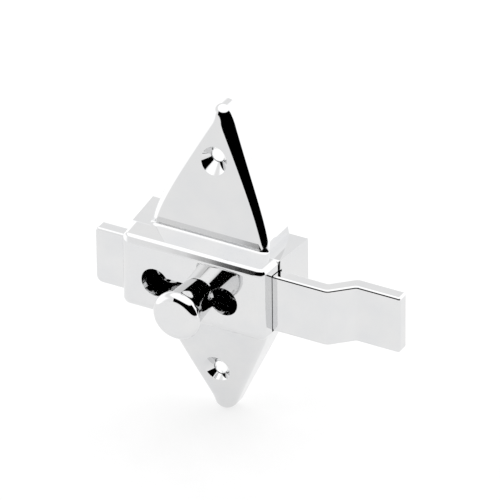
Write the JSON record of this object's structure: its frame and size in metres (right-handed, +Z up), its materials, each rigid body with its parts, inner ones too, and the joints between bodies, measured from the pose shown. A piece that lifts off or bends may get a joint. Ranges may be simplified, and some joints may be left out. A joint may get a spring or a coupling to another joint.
{
  "type": "partition slide latch",
  "caption": "Surface-mounted slide latch: chrome-plated cast housing with pointed mounting ears, a round knob in a dog-bone slot and a joggled flat bar.",
  "frame": {"origin": "middle of the housing on the plane of the door that it is screwed to", "axes": "+X along the bar towards its thrown end, +Y into the door (the front faces -Y), +Z up along the line of the two mounting holes"},
  "size_m": [0.1194, 0.0473, 0.1272],
  "materials": {
    "polished_chrome": "mirror-polished chrome plate on a zinc die casting",
    "bright_chrome": "mirror-polished chrome plate on a machined or formed piece",
    "zinc_plated_steel": "bright zinc plate, slightly dull",
    "blued_spring_steel": "tempered blue-grey spring strip",
    "rivet_aluminium": "plain set rivet"
  },
  "bodies": {
    "housing": {"base_casting": "polished_chrome", "front_cover": "polished_chrome", "friction_spring": "blued_spring_steel", "spring_rivet_left": "rivet_aluminium", "spring_rivet_right": "rivet_aluminium", "cover_screw_1": "zinc_plated_steel", "cover_screw_2": "zinc_plated_steel"},
    "slide": {"slide_bar": "bright_chrome", "knob": "bright_chrome", "knob_screw": "zinc_plated_steel", "lock_washer": "zinc_plated_steel"}
  },
  "joints": [
    {"name": "bar_slide", "type": "slide", "parent": "housing", "child": "slide", "axis": [1, 0, 0], "range_m": [-0.0172, 0.0124]}
  ]
}
